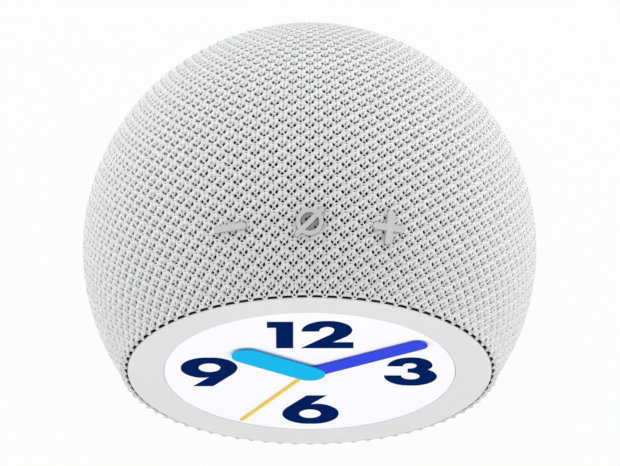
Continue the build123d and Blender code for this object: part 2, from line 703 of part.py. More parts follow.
with BuildPart() as pillar_screws:
    post(face(BACK_PLATE - PLATE_HEAD_T), PLATE_HEAD_R, PLATE_HEAD_T, PILLARS)
    post(face(BACK_PLATE), PLATE_SCREW_R, PLATE_T + 4, PILLARS)
save(pillar_screws.part, "pillar_screws")

with BuildPart() as plate_screws:
    post(face(FRONT_PLATE - PLATE_HEAD_T), PLATE_HEAD_R, PLATE_HEAD_T, PLATE_SCREWS)
    post(face(FRONT_PLATE), PLATE_SCREW_R, PLATE_T + PLATE_SCREW_IN, PLATE_SCREWS)
save(plate_screws.part, "plate_screws")


# Push buttons, each with a flange below the case, a stem and a switch plunger
def button_cap(key):
    mark = BUTTONS[key][1]
    post(button_plane(key, FLANGE_TOP - FLANGE_T), FLANGE_R, FLANGE_T)
    post(button_plane(key, PLUNGER_TOP), STEM_R, FLANGE_TOP - FLANGE_T - PLUNGER_TOP)
    if key == "mute":
        post(button_plane(key, FLANGE_TOP), MUTE_R, MUTE_FLOOR - FLANGE_TOP)
        with BuildSketch(button_plane(key, FLANGE_TOP)) as band:
            Circle(MUTE_R)
            Circle(MUTE_R - MUTE_BAND, mode=Mode.SUBTRACT)
            slash_mark(0)
        extrude(band.sketch, amount=BUTTON_TOP - FLANGE_TOP)
    else:
        stamp(button_plane(key, FLANGE_TOP), mark, 0, BUTTON_TOP - FLANGE_TOP)


with BuildPart() as minus_button:
    button_cap("minus")
save(minus_button.part, "minus_button")
with BuildPart() as mute_button:
    button_cap("mute")
save(mute_button.part, "mute_button")
with BuildPart() as plus_button:
    button_cap("plus")
save(plus_button.part, "plus_button")

with BuildPart() as minus_plunger:
    post(button_plane("minus", PLUNGER_LOW), PLUNGER_R, PLUNGER_TOP - PLUNGER_LOW)
save(minus_plunger.part, "minus_plunger")
with BuildPart() as mute_plunger:
    post(button_plane("mute", PLUNGER_LOW), PLUNGER_R, PLUNGER_TOP - PLUNGER_LOW)
save(mute_plunger.part, "mute_plunger")
with BuildPart() as plus_plunger:
    post(button_plane("plus", PLUNGER_LOW), PLUNGER_R, PLUNGER_TOP - PLUNGER_LOW)
save(plus_plunger.part, "plus_plunger")

with BuildPart() as switch_boards:
    for key in BUTTONS:
        post(button_plane(key, TUBE_END - SWITCH_BOARD_T), SWITCH_BOARD_R, SWITCH_BOARD_T)
save(switch_boards.part, "switch_boards")

well = PLUNGER_LOW - BUTTON_TRAVEL - 2 * FIT
with BuildPart() as tact_switches:
    for key in BUTTONS:
        block(button_plane(key, TUBE_END), SWITCH_SIDE, SWITCH_SIDE, SWITCH_H)
    for key in BUTTONS:
        post(button_plane(key, well), PLUNGER_R + RUN, 5, mode=Mode.SUBTRACT)
save(tact_switches.part, "tact_switches")

# Base plate, foot, screws and the main board on its standoffs
with BuildPart() as base_plate:
    post(flat(BASE_LOW), BASE_R, BASE_TOP - BASE_LOW)
    post(flat(BASE_TOP), STANDOFF_R, BOARD_LOW - BASE_TOP, STANDOFFS)
    post(flat(BASE_LOW), FOOT_R + 2 * FIT, FOOT_T - BASE_LOW, mode=Mode.SUBTRACT)
    base_spots = FRONT_SCREWS + REAR_SCREWS
    post(flat(FOOT_T), BASE_HEAD_R + 2 * FIT, BASE_HEAD_T + 2 * FIT, base_spots, Mode.SUBTRACT)
    post(flat(FOOT_T), BASE_SCREW_R + 2 * FIT, BASE_TOP, base_spots, Mode.SUBTRACT)
    post(flat(BOARD_SCREW_LOW - 0.5), BOARD_SCREW_R + FIT, BOARD_LOW, STANDOFFS, Mode.SUBTRACT)
save(base_plate.part, "base_plate")

with BuildPart() as base_screws:
    head_low = FOOT_T + 2 * FIT
    post(flat(head_low), BASE_HEAD_R, BASE_HEAD_T, FRONT_SCREWS + REAR_SCREWS)
    post(flat(head_low), BASE_SCREW_R, BASE_SCREW_TOP - head_low, FRONT_SCREWS + REAR_SCREWS)
save(base_screws.part, "base_screws")

with BuildPart() as foot_pad:
    post(flat(0), FOOT_R, FOOT_T)
save(foot_pad.part, "foot_pad")

board_top = BOARD_LOW + BOARD_T
with BuildPart() as main_board:
    post(flat(BOARD_LOW), BOARD_R, BOARD_T)
    post(flat(BOARD_LOW), BOARD_SCREW_R + 2 * FIT, BOARD_T, STANDOFFS, Mode.SUBTRACT)
save(main_board.part, "main_board")

with BuildPart() as board_screws:
    post(flat(board_top), BOARD_HEAD_R, BOARD_HEAD_T, STANDOFFS)
    post(flat(BOARD_SCREW_LOW), BOARD_SCREW_R, board_top - BOARD_SCREW_LOW, STANDOFFS)
save(board_screws.part, "board_screws")

with BuildPart() as board_components:
    block(flat(board_top), 9.0, 9.0, 1.4, [(-9.0, -10.5)])
    block(flat(board_top), 6.0, 5.0, 1.2, [(8.5, -11.0)])
    block(flat(board_top), 4.0, 8.0, 1.2, [(-16.5, 0.0)])
    post(flat(board_top), 2.5, 4.4, [(15.5, -5.5), (16.5, 0.6)])
save(board_components.part, "board_components")

CELL_R, CELL_T, CELL_AT = 8.0, 3.2, (0.0, 2.0)
with BuildPart() as cell_holder:
    post(flat(board_top), CELL_R + 0.8, 2.4, [CELL_AT])
    post(flat(board_top + 0.4), CELL_R + 2 * FIT, 3, [CELL_AT], Mode.SUBTRACT)
save(cell_holder.part, "cell_holder")
with BuildPart() as backup_cell:
    post(flat(board_top + 0.4), CELL_R, CELL_T - 0.4, [CELL_AT])
save(backup_cell.part, "backup_cell")

# Rear plate over the end of the knit, and the power inlet clamped through it
with BuildPart() as rear_plate:
    hole = INLET_R + 3 * FIT
    with BuildSketch(turning):
        with BuildLine():
            Line(back_point(KNIT_IN, hole), back_point(KNIT_IN, REAR_R))
            Line(back_point(KNIT_IN, REAR_R), back_point(BALL_R, REAR_R))
            ThreePointArc(back_point(BALL_R, REAR_R), back_point(BALL_R, REAR_R / 2), back_point(BALL_R, hole))
            Line(back_point(BALL_R, hole), back_point(KNIT_IN, hole))
        make_face()
    revolve(axis=AXIS)
    with BuildSketch(turning):
        with BuildLine():
            ThreePointArc(
                back_point(KNIT_IN, hole - 1), back_point(KNIT_IN, REAR_R / 2), back_point(KNIT_IN, REAR_R + 1)
            )
            Polyline(
                back_point(KNIT_IN, REAR_R + 1), (REAR_R + 1, -DIAL_DIST), (hole - 1, -DIAL_DIST),
                back_point(KNIT_IN, hole - 1),
            )
        make_face()
    revolve(axis=AXIS, mode=Mode.SUBTRACT)
    post(behind(INLET_OUT - COLLAR_T - FIT), COLLAR_R + 3 * FIT, 3, mode=Mode.SUBTRACT)
save(rear_plate.part, "rear_plate")

with BuildPart() as power_inlet:
    post(behind(INLET_IN), INLET_R, INLET_OUT - INLET_IN)
    post(behind(INLET_OUT - COLLAR_T), COLLAR_R, COLLAR_T)
    post(behind(INLET_IN + INLET_END_T), INLET_BORE_R, INLET_OUT, mode=Mode.SUBTRACT)
save(power_inlet.part, "power_inlet")
with BuildPart() as inlet_pin:
    post(behind(INLET_IN + INLET_END_T), PIN_R, PIN_OUT - INLET_IN - INLET_END_T)
save(inlet_pin.part, "inlet_pin")
with BuildPart() as inlet_nut:
    with BuildSketch(behind(NUT_OUT - NUT_T)):
        RegularPolygon(NUT_R, 6)
        Circle(INLET_R + FIT, mode=Mode.SUBTRACT)
    extrude(amount=NUT_T)
save(inlet_nut.part, "inlet_nut")

# Speaker on a baffle behind the movement, firing to the back
with BuildPart() as speaker_baffle:
    post(face(BAFFLE), BAFFLE_R, BAFFLE_T)
    post(speaker_face(BAFFLE), BAFFLE_HOLE_R, BAFFLE_T, mode=Mode.SUBTRACT)
    post(face(BAFFLE), BAFFLE_SCREW_R + 2 * FIT, BAFFLE_T, boss_spots, Mode.SUBTRACT)
    block(flat(-BALL_R), 4 * BALL_R, 4 * BALL_R, BALL_R + BAFFLE_FOOT, mode=Mode.SUBTRACT)
save(speaker_baffle.part, "speaker_baffle")

baffle_front = BAFFLE + BAFFLE_T
with BuildPart() as baffle_screws:
    post(face(baffle_front), 2.0, 1.2, boss_spots)
    post(face(BAFFLE - 6), BAFFLE_SCREW_R, BAFFLE_T + 6, boss_spots)
save(baffle_screws.part, "baffle_screws")

flange_top = baffle_front + 1.2
basket_top = baffle_front + 11.7
with BuildPart() as speaker_basket:
    turned(
        [
            (BASKET_LIP_R, baffle_front),
            (BASKET_R, baffle_front),
            (BASKET_R, flange_top),
            (24.5, flange_top),
            (15.6, basket_top),
            (GAP_OUT + 1, basket_top),
            (GAP_OUT + 1, basket_top - 1),
            (14.8, basket_top - 1),
            (23.2, flange_top + 0.4),
            (BASKET_LIP_R, flange_top),
        ],
        speaker_turning,
        SPEAKER_AXIS,
    )
    window_spots = [polar_spot(19.5, 45 + 90 * k) for k in range(4)]
    post(speaker_face(flange_top + 1.5), 3.6, 9, window_spots, Mode.SUBTRACT)
save(speaker_basket.part, "speaker_basket")

top_plate_high = basket_top + 1.8
magnet_high = top_plate_high + 3.5
yoke_high = magnet_high + 1.8
with BuildPart() as speaker_top_plate:
    post(speaker_face(basket_top), TOP_PLATE_R, 1.8)
    post(speaker_face(basket_top), GAP_OUT, 1.8, mode=Mode.SUBTRACT)
save(speaker_top_plate.part, "speaker_top_plate")
with BuildPart() as speaker_magnet:
    post(speaker_face(top_plate_high), MAGNET_R, 3.5)
    post(speaker_face(top_plate_high), MAGNET_HOLE_R, 3.5, mode=Mode.SUBTRACT)
save(speaker_magnet.part, "speaker_magnet")
with BuildPart() as speaker_yoke:
    post(speaker_face(magnet_high), YOKE_R, 1.8)
    post(speaker_face(basket_top), POLE_R, magnet_high - basket_top)
save(speaker_yoke.part, "speaker_yoke")

neck = baffle_front + 6.5
edge = baffle_front + 0.6
with BuildPart() as speaker_cone:
    turned(
        [(COIL_OUT, neck), (CONE_R, edge), (CONE_R, edge - CONE_T), (COIL_OUT, neck - CONE_T)],
        speaker_turning,
        SPEAKER_AXIS,
    )
save(speaker_cone.part, "speaker_cone")
with BuildPart() as voice_coil:
    post(speaker_face(neck - 1.2), COIL_OUT, basket_top + 1.2 - neck + 1.2)
    post(speaker_face(neck - 1.2), COIL_IN, 20, mode=Mode.SUBTRACT)
save(voice_coil.part, "voice_coil")
with BuildPart() as dust_cap:
    with BuildSketch(speaker_turning):
        with BuildLine():
            Line((VENT_R, neck - 3.4), (VENT_R, neck - 3.0))
            ThreePointArc((VENT_R, neck - 3.0), (3.5, neck - 2.5), (COIL_OUT, neck - 1.2))
            Line((COIL_OUT, neck - 1.2), (COIL_OUT, neck - 1.6))
            ThreePointArc((COIL_OUT, neck - 1.6), (3.5, neck - 2.95), (VENT_R, neck - 3.4))
        make_face()
    revolve(axis=SPEAKER_AXIS)
save(dust_cap.part, "dust_cap")
roll = (BASKET_LIP_R - FIT - CONE_R) / 2
roll_at = CONE_R + roll
roll_level = edge - CONE_T
with BuildPart() as speaker_surround:
    with BuildSketch(speaker_turning):
        with BuildLine():
            Polyline(
                (CONE_R - 0.8, roll_level), (CONE_R - 0.8, roll_level - 0.3), (CONE_R, roll_level - 0.3)
            )
            ThreePointArc(
                (CONE_R, roll_level - 0.3), (roll_at, roll_level - 0.3 - roll), (BASKET_LIP_R - FIT, roll_level - 0.3)
            )
            Polyline(
                (BASKET_LIP_R - FIT, roll_level - 0.3), (BASKET_LIP_R - FIT, roll_level),
                (BASKET_LIP_R - FIT - 0.3, roll_level),
            )
            ThreePointArc(
                (BASKET_LIP_R - FIT - 0.3, roll_level), (roll_at, roll_level - roll), (CONE_R + 0.3, roll_level)
            )
            Line((CONE_R + 0.3, roll_level), (CONE_R - 0.8, roll_level))
        make_face()
    revolve(axis=SPEAKER_AXIS)
save(speaker_surround.part, "speaker_surround")


# Leads from the inlet, the speaker, the movement and the switches down to the main board
def dial_spot(across, up_by, ahead):
    return CENTRE + RIGHT * across + UPWARD * up_by + FORWARD * ahead


def lead(start, heading, through, end):
    with BuildLine() as path:
        Spline([start, *through, end], tangents=[heading, (0, 0, -1)])
    with BuildSketch(Plane(origin=start, z_dir=heading)) as outline:
        Circle(LEAD_R)
    sweep(outline.sketch, path=path.line)


LEAD_R = 0.8
with BuildPart() as power_lead:
    lead(CENTRE - FORWARD * INLET_IN, FORWARD, [], Vector(0, 18, board_top))
save(power_lead.part, "power_lead")
with BuildPart() as speaker_lead:
    on_flange = dial_spot(8, SPEAKER_UP - 24, DIAL_DIST + flange_top)
    lead(on_flange, FORWARD, [], Vector(12.5, -2, board_top))
save(speaker_lead.part, "speaker_lead")
with BuildPart() as movement_lead:
    on_plate = dial_spot(12, -24, DIAL_DIST + BACK_PLATE)
    lead(on_plate, FORWARD * -1, [], Vector(14, -12, board_top))
save(movement_lead.part, "movement_lead")
with BuildPart() as switch_lead:
    under = button_plane("mute", TUBE_END - SWITCH_BOARD_T)
    way = [dial_spot(-22, 14, 2), dial_spot(-22, -12, 0)]
    lead(under.origin + under.y_dir * 3.5, under.z_dir * -1, way, Vector(-12, -2, board_top))
save(switch_lead.part, "switch_lead")
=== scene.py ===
"""A ball-shaped talking clock in a knitted cover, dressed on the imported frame.

Values named _MM are millimetres. Polar angles are degrees from the dial's axis, and turns degrees round it.
"""
import json
import math

import bpy
import numpy as np
from mathutils import Matrix, Vector
from mathutils.geometry import delaunay_2d_cdt


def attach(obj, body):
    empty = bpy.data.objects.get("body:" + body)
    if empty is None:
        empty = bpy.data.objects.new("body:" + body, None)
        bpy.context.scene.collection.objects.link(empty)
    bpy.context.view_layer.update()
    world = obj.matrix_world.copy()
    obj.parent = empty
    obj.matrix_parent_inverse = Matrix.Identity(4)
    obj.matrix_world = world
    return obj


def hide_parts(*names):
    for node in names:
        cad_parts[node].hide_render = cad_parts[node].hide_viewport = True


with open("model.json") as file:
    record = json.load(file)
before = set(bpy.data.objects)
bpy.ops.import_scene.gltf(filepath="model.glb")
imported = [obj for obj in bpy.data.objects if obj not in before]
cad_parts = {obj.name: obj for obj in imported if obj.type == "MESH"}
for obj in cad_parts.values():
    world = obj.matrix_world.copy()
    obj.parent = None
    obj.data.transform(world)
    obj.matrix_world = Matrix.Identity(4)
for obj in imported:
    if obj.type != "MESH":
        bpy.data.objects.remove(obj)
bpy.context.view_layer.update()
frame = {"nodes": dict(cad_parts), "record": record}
nodes = frame["nodes"]
scene = bpy.context.scene

# The ball's centre in mm, the dial's three axes, and how far the bezel's face lies ahead of the centre
MM = 0.001
LEAN = math.radians(15)
CENTRE = np.array((0.0, 0.0, 44.0))
FORWARD = np.array((0.0, -math.cos(LEAN), math.sin(LEAN)))
UPWARD = np.array((0.0, math.sin(LEAN), math.cos(LEAN)))
SIDE = np.array((1.0, 0.0, 0.0))
FACE_MM = 29.4
DIAGONAL = math.sqrt(0.5)


# Shader nodes
MIX_FIRST, MIX_SECOND, MIX_RESULT = 6, 7, 2


def new_material(name):
    material = bpy.data.materials.new(name)
    material.use_nodes = True
    tree = material.node_tree
    tree.nodes.clear()
    out = tree.nodes.new("ShaderNodeOutputMaterial")
    shader = tree.nodes.new("ShaderNodeBsdfPrincipled")
    tree.links.new(shader.outputs[0], out.inputs[0])
    return material, tree, shader


def noise(tree, scale, detail=3.0, rough=0.55):
    where = tree.nodes.new("ShaderNodeTexCoord")
    grain = tree.nodes.new("ShaderNodeTexNoise")
    grain.inputs["Scale"].default_value = scale
    grain.inputs["Detail"].default_value = detail
    grain.inputs["Roughness"].default_value = rough
    tree.links.new(where.outputs["Object"], grain.inputs["Vector"])
    return grain.outputs["Fac"]


def attribute(tree, name):
    node = tree.nodes.new("ShaderNodeAttribute")
    node.attribute_name = name
    return node.outputs["Fac"]


def ramp(tree, value, low, high, first, last):
    node = tree.nodes.new("ShaderNodeMapRange")
    node.inputs["From Min"].default_value = low
    node.inputs["From Max"].default_value = high
    node.inputs["To Min"].default_value = first
    node.inputs["To Max"].default_value = last
    tree.links.new(value, node.inputs["Value"])
    return node.outputs["Result"]


def tint(tree, value, low, high, first, last):
    node = tree.nodes.new("ShaderNodeValToRGB")
    node.color_ramp.elements[0].position = low
    node.color_ramp.elements[0].color = (*first, 1)
    node.color_ramp.elements[1].position = high
    node.color_ramp.elements[1].color = (*last, 1)
    tree.links.new(value, node.inputs["Fac"])
    return node.outputs["Color"]


def bump(tree, height, distance, strength, base=None):
    node = tree.nodes.new("ShaderNodeBump")
    node.inputs["Distance"].default_value = distance
    node.inputs["Strength"].default_value = strength
    tree.links.new(height, node.inputs["Height"])
    if base is not None:
        tree.links.new(base, node.inputs["Normal"])
    return node.outputs["Normal"]


def maths(tree, operation, *values):
    """A Math node fed by other nodes' outputs and by plain numbers."""
    node = tree.nodes.new("ShaderNodeMath")
    node.operation = operation
    for socket, value in zip(node.inputs, values):
        if isinstance(value, (int, float)):
            socket.default_value = value
        else:
            tree.links.new(value, socket)
    return node.outputs[0]


def multiply_colours(tree, first, second):
    node = tree.nodes.new("ShaderNodeMix")
    node.data_type = "RGBA"
    node.blend_type = "MULTIPLY"
    node.inputs["Factor"].default_value = 1.0
    tree.links.new(first, node.inputs[MIX_FIRST])
    tree.links.new(second, node.inputs[MIX_SECOND])
    return node.outputs[MIX_RESULT]


def grey(level):
    return (level, level, level)


# Finishes of the rigid pieces
NOISE_SPAN = (0.3, 0.7)
GRAIN_SCALE = 2600.0
GRAIN_DEPTH = 0.00004
GLOSS_DRIFT = 0.05
PATCH_SCALE = 60.0
PATCH_DETAIL = 2.0


def grain_of(tree, shader, rough, grain=GRAIN_SCALE, relief=0.4, specular=0.5):
    """A fine grain in the gloss and in the bump."""
    fine = noise(tree, grain)
    gloss = ramp(tree, fine, *NOISE_SPAN, rough - GLOSS_DRIFT, rough + GLOSS_DRIFT)
    tree.links.new(gloss, shader.inputs["Roughness"])
    tree.links.new(bump(tree, fine, GRAIN_DEPTH, relief), shader.inputs["Normal"])
    shader.inputs["Specular IOR Level"].default_value = specular


def finish_of(name, colour, rough, spread=0.06, metal=0.0, **grain):
    """A moulded, painted or machined finish: a fine grain, and a slow drift in colour."""
    material, tree, shader = new_material(name)
    slow = noise(tree, PATCH_SCALE, PATCH_DETAIL)
    dark = tuple(c * (1 - spread) for c in colour)
    light = tuple(min(1.0, c * (1 + spread / 2)) for c in colour)
    tree.links.new(tint(tree, slow, *NOISE_SPAN, dark, light), shader.inputs["Base Color"])
    shader.inputs["Metallic"].default_value = metal
    grain_of(tree, shader, rough, **grain)
    return material


BUTTON_COLOUR = grey(0.56)
BUTTON_ROUGH = 0.65
BUTTON_SPECULAR = 0.25
LOOKS = {
    "case_black": dict(colour=grey(0.07), rough=0.8, specular=0.2),
    "bezel_grey": dict(colour=grey(0.745), rough=0.62, spread=0.012, specular=0.1),
    "dial_white": dict(colour=(0.955, 0.947, 1.0), rough=0.5, spread=0.006, relief=0.1, specular=0.0),
    "print_navy": dict(colour=(0.0006, 0.0145, 0.107), rough=0.6, spread=0.05, relief=0.15, specular=0.0),
    "hand_cyan": dict(colour=(0.011, 0.485, 0.838), rough=0.45, spread=0.03, relief=0.1, specular=0.0),
    "hand_blue": dict(colour=(0.044, 0.072, 0.776), rough=0.45, spread=0.03, relief=0.1, specular=0.0),
    "hand_yellow": dict(colour=(0.90, 0.62, 0.05), rough=0.45, spread=0.03, relief=0.1, specular=0.0),
    "button_grey": dict(colour=BUTTON_COLOUR, rough=BUTTON_ROUGH, spread=0.03, specular=BUTTON_SPECULAR),
    "brass": dict(colour=(0.78, 0.57, 0.24), rough=0.32, metal=1.0),
    "steel": dict(colour=(0.55, 0.55, 0.56), rough=0.34, metal=1.0),
    "copper": dict(colour=(0.72, 0.38, 0.20), rough=0.38, metal=1.0, grain=5200.0, relief=0.8),
    "board_green": dict(colour=(0.03, 0.16, 0.07), rough=0.4, spread=0.1),
    "chip_black": dict(colour=grey(0.03), rough=0.55),
    "rubber_grey": dict(colour=grey(0.16), rough=0.85, spread=0.1, relief=0.7, specular=0.2),
    "cone_black": dict(colour=grey(0.05), rough=0.9, grain=900.0, relief=0.9),
    "ferrite": dict(colour=grey(0.10), rough=0.5, spread=0.15),
    "lead_black": dict(colour=grey(0.03), rough=0.6),
}
GASKET_LOOK = dict(colour=grey(0.012), rough=0.85, specular=0.1)
FINISHES = {name: finish_of(name, **look) for name, look in LOOKS.items()}
SLOT_OF = {s["node"]: s["material_slot"] for s in frame["record"]["subparts"]}
for name, node in nodes.items():
    if SLOT_OF[name] in FINISHES:
        node.data.materials.clear()
        node.data.materials.append(FINISHES[SLOT_OF[name]])

# Yarn: its own colour at the crown, with a painted shade that darkens it between two depths in mm below the
# crown, and more painted shade on the holes' walls below that
YARN_TOP = grey(0.825)
YARN_PAINTED_SHADE = grey(0.66)
YARN_DEPTHS = (0.08, 0.55)
WALL_PAINTED_SHADE = grey(0.8)
WALL_DEPTHS = (0.55, 0.95)
WHITE = grey(1.0)
DRIFT = dict(scale=1900.0, detail=3.0, rough=0.6)
DRIFT_SPAN = (0.32, 0.68)
DRIFT_SHADE = grey(0.86)
FIBRE = dict(scale=5200.0, detail=4.0, rough=0.7)
FIBRE_DEPTH = 0.00012
PLY_MM = 0.36
LOOP_UNIT_MM = 1.11
PLY_DEPTH = 0.00003
YARN_BUMP = 0.5
YARN_ROUGH = (0.8, 0.95)
YARN_SPECULAR = 0.1
YARN_SHEEN = 0.08
SHEEN_ROUGH = 0.5


def yarn_material():
    """Matt yarn: painted shade that darkens it where it lies deep and down the holes' walls, plies that run
    round each opening, and fine fibres.
    """
    material, tree, shader = new_material("knit_yarn")
    depth = attribute(tree, "depth")
    fibre = noise(tree, **FIBRE)
    # Painted shade: the yarn's own colour at the crown darkens where the yarn lies deep
    colour = tint(tree, depth, *YARN_DEPTHS, YARN_TOP, YARN_PAINTED_SHADE)
    drift = tint(tree, noise(tree, **DRIFT), *DRIFT_SPAN, DRIFT_SHADE, WHITE)
    # Painted shade: the holes' walls darken further the deeper they go
    wall = tint(tree, depth, *WALL_DEPTHS, WHITE, WALL_PAINTED_SHADE)
    colour = multiply_colours(tree, multiply_colours(tree, colour, drift), wall)
    tree.links.new(colour, shader.inputs["Base Color"])
    tree.links.new(ramp(tree, fibre, *NOISE_SPAN, *YARN_ROUGH), shader.inputs["Roughness"])
    turns = maths(tree, "MULTIPLY", attribute(tree, "strand"), 2 * math.pi * LOOP_UNIT_MM / PLY_MM)
    twisted = bump(tree, maths(tree, "SINE", turns), PLY_DEPTH, YARN_BUMP)
    tree.links.new(bump(tree, fibre, FIBRE_DEPTH, YARN_BUMP, twisted), shader.inputs["Normal"])
    shader.inputs["Specular IOR Level"].default_value = YARN_SPECULAR
    shader.inputs["Sheen Weight"].default_value = YARN_SHEEN
    shader.inputs["Sheen Roughness"].default_value = SHEEN_ROUGH
    return material


# Knit: two kinds of opening to a repeat, each in a six-sided tile, repeated round the dial's axis
COLUMNS = 78
PITCH = 360.0 / COLUMNS
ROW = 3.64
FIRST_A = 53.66
TILE_W_MM = 4.0
TILE_H_MM = 3.17
HEX = [(0.405, 0.0), (0.095, 0.5), (-0.095, 0.5), (-0.405, 0.0), (-0.095, -0.5), (0.095, -0.5)]
OUTER_MM = 49.97
KEYS_PER_DEGREE = 4000

# For each kind, its offset in columns and the polar angle of its first row
LINES = {"A": (0.5, FIRST_A), "B": (1.0, FIRST_A + ROW / 2)}

# The mesh of a tile: steps along its short and long edges, grid spacing, and room kept beside outlines
SHORT_STEPS, LONG_STEPS = 2, 6
GRID_MM = 0.26
GRID_ROW = 0.866
GRID_REACH = 9
BORDER_ROOM_MM = 0.15
HOLE_ROOM_MM = 0.11
MERGE_MM = 1e-6
WALL_MM = 0.36
WALL_TAPER = 0.86
SHEET, FILLER, WALL = 0, 1, 2

# Shares of an opening's size that give a wedge, a leaf and a slit their outlines
WAIST_OUT, WAIST_DOWN = 0.5, 0.45
SHOULDER_UP = 0.12
BASE_OUT, BASE_BOW = 0.8, 0.1
LEAF_BOW = 1.18
SLIT_LESS, SLIT_MORE = 0.32, 0.68


def ring(cx, cy, rx, ry, count):
    turns = [2 * math.pi * k / count for k in range(count)]
    return [(cx + rx * math.cos(a), cy + ry * math.sin(a)) for a in turns]


def wedge(point, base, half):
    """A three-sided opening under the crossing threads, with its point away from the rim and a bowed base."""
    tall = base - point
    waist, shoulder, bow = point + tall * WAIST_DOWN, base - tall * SHOULDER_UP, base + tall * BASE_BOW
    right = [(half * WAIST_OUT, waist), (half, shoulder), (half * BASE_OUT, base)]
    left = [(-x, y) for x, y in reversed(right)]
    return [(0.0, point), *right, (0.0, bow), *left]


def leaf(top, inner, bottom, outer):
    """An opening beside the crossing threads: straight along the threads, and bowed on its other sides."""
    corners = [top, inner, bottom, outer]
    cx, cy = np.mean(corners, axis=0)
    points = []
    for i, (ax, ay) in enumerate(corners):
        bx, by = corners[(i + 1) % len(corners)]
        bow = 1.0 if (ax, ay) == inner else LEAF_BOW
        points += [(ax, ay), (cx + ((ax + bx) / 2 - cx) * bow, cy + ((ay + by) / 2 - cy) * bow)]
    return points


def slit(ax, ay, bx, by, half):
    """A narrow lens between the two legs of a loop."""
    long = math.hypot(bx - ax, by - ay)
    nx, ny = -(by - ay) / long * half, (bx - ax) / long * half
    near = (ax * SLIT_MORE + bx * SLIT_LESS, ay * SLIT_MORE + by * SLIT_LESS)
    far = (ax * SLIT_LESS + bx * SLIT_MORE, ay * SLIT_LESS + by * SLIT_MORE)
    return [(ax, ay), (near[0] + nx, near[1] + ny), (far[0] + nx, far[1] + ny), (bx, by),
            (far[0] - nx, far[1] - ny), (near[0] - nx, near[1] - ny)]


# Openings of both kinds, in mm from the threads' crossing, with +y towards the rim
HOLES = {
    "A": {
        "wedge": wedge(0.18, 0.88, 0.50),
        "left_leaf": leaf((-0.90, -0.32), (-0.34, 0.10), (-0.56, 0.62), (-1.06, 0.12)),
        "right_leaf": leaf((0.84, -0.32), (0.32, 0.10), (0.54, 0.60), (1.02, 0.12)),
        "slit": slit(-0.15, -0.20, 0.14, -0.92, 0.16),
        "dash": ring(0, 1.38, 0.20, 0.11, 6),
    },
    "B": {
        "wedge": wedge(0.24, 0.82, 0.42),
        "left_leaf": leaf((-0.75, -0.50), (-0.24, 0.04), (-0.54, 0.54), (-1.14, -0.02)),
        "right_leaf": leaf((0.77, -0.52), (0.24, 0.02), (0.56, 0.54), (1.10, -0.04)),
        "slit": slit(-0.15, -0.26, 0.17, -0.98, 0.17),
        "dash": ring(0, 1.36, 0.17, 0.13, 6),
    },
}


def segment_gap(px, py, ax, ay, bx, by):
    dx, dy = bx - ax, by - ay
    t = np.clip(((px - ax) * dx + (py - ay) * dy) / (dx * dx + dy * dy), 0, 1)
    return np.hypot(px - ax - t * dx, py - ay - t * dy)


def loop_gap(px, py, loop):
    gaps = [segment_gap(px, py, *loop[i - 1], *loop[i]) for i in range(len(loop))]
    return np.min(gaps, axis=0)


def inside(px, py, loop):
    flag = np.zeros(np.shape(px), bool)
    for i in range(len(loop)):
        (ax, ay), (bx, by) = loop[i - 1], loop[i]
        cross = (ay > py) != (by > py)
        with np.errstate(divide="ignore", invalid="ignore"):
            at = (bx - ax) * (py - ay) / (by - ay) + ax
        flag ^= cross & (px < at)
    return flag


def tile_border():
    points = []
    for i, (ax, ay) in enumerate(HEX):
        bx, by = HEX[(i + 1) % len(HEX)]
        steps = SHORT_STEPS if ay == by else LONG_STEPS
        for k in range(steps):
            x, y = ax + (bx - ax) * k / steps, ay + (by - ay) * k / steps
            points.append((x * TILE_W_MM, y * TILE_H_MM))
    return points


